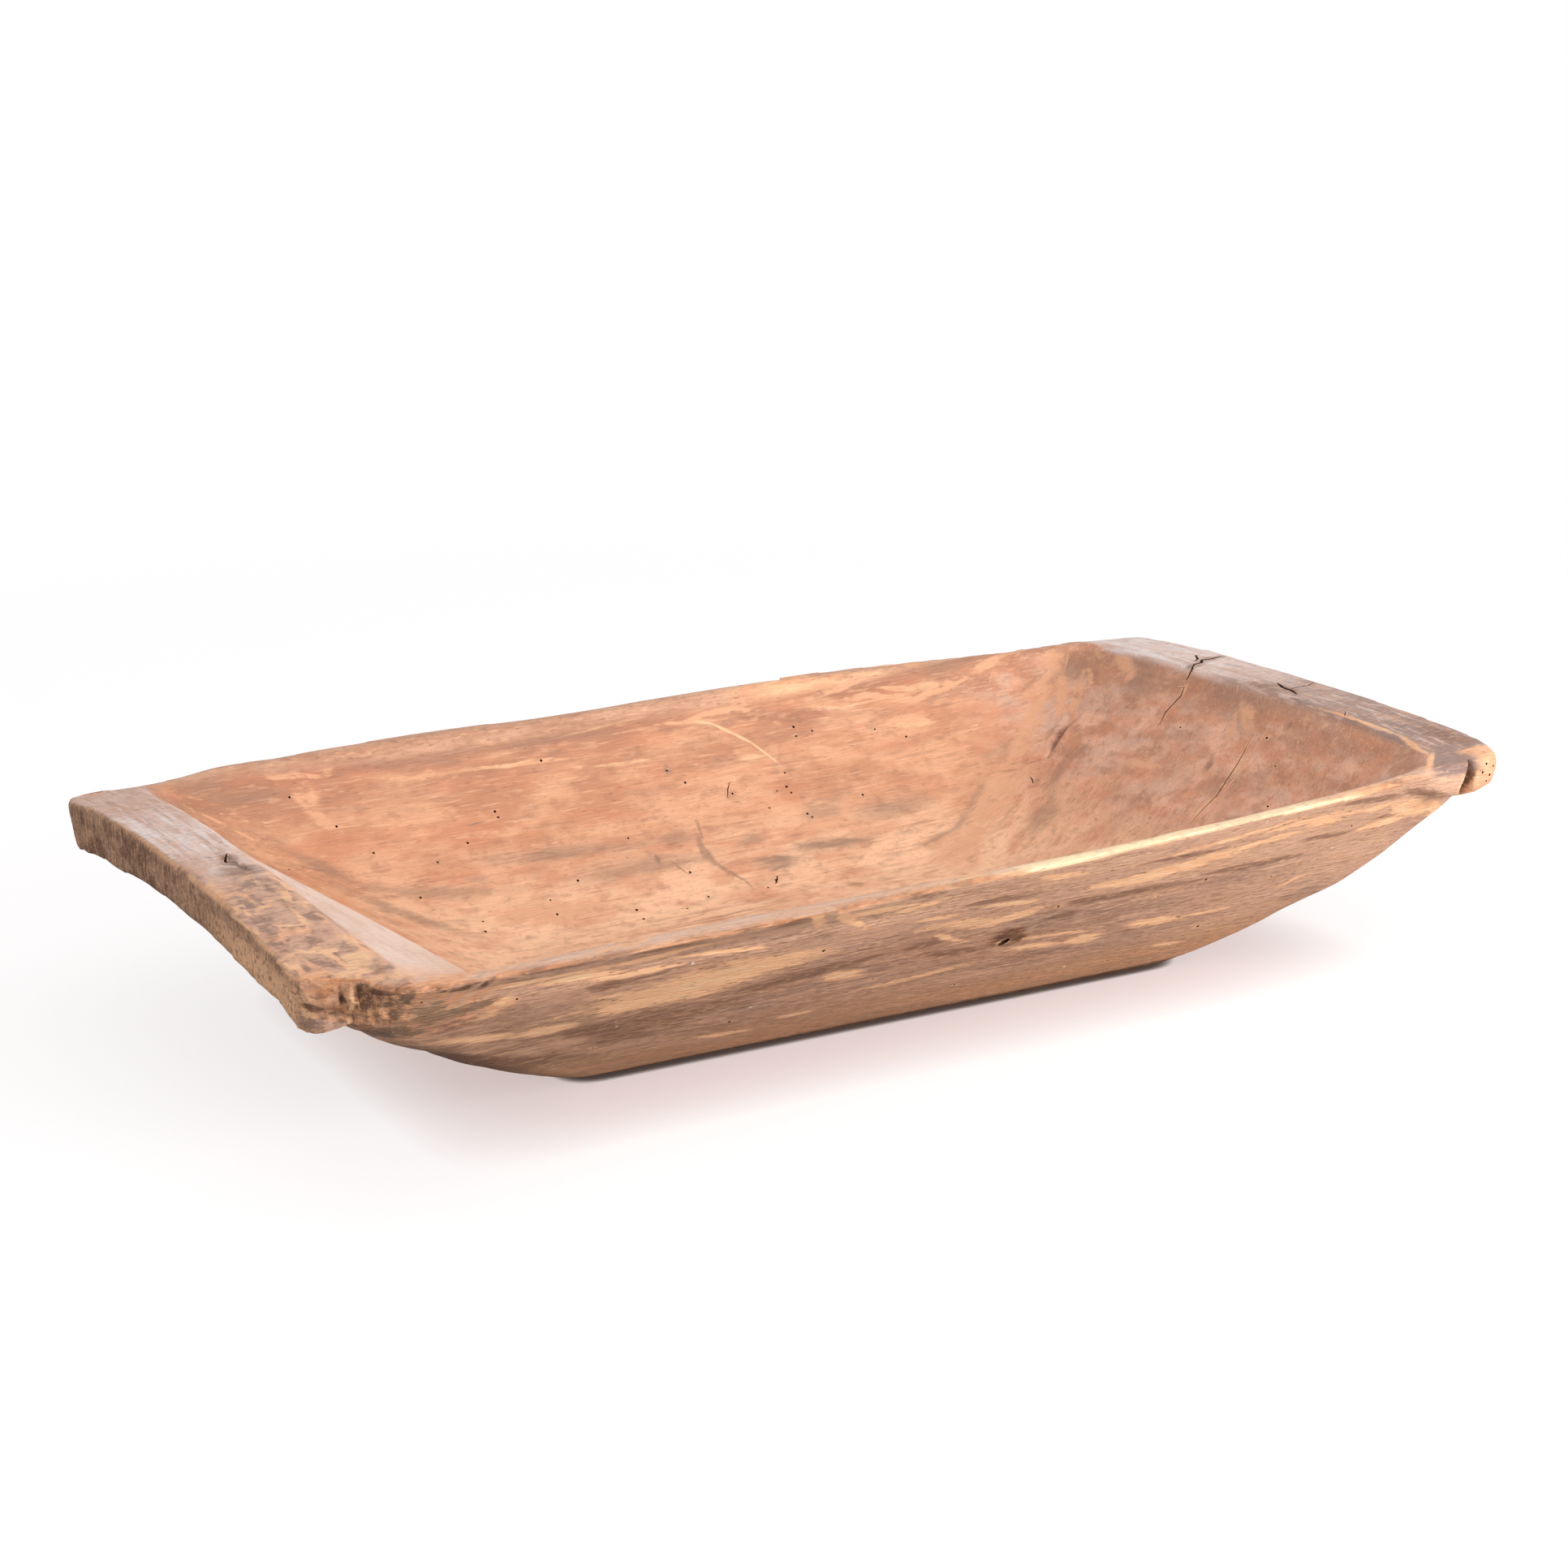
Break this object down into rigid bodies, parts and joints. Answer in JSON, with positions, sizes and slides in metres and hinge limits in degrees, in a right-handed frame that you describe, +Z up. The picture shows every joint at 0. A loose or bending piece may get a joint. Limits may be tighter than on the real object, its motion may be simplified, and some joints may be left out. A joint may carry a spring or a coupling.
{
  "type": "carved wooden trough",
  "caption": "Shallow oblong trough carved from one block of wood, with sloping sides, a flat underside and a board-like ledge across each end as a handle.",
  "frame": {"origin": "middle of the footprint box, on the flat underside", "axes": "+X along the trough, +Z up out of the hollow, -Y the near long side in the picture"},
  "size_m": [0.899, 0.476, 0.156],
  "materials": {
    "worn_wood": "hand-carved solid wood, brown patina worn through to pale tan along the edges, satin from handling"
  },
  "bodies": {
    "root": {"trough": "worn_wood"}
  },
  "joints": []
}
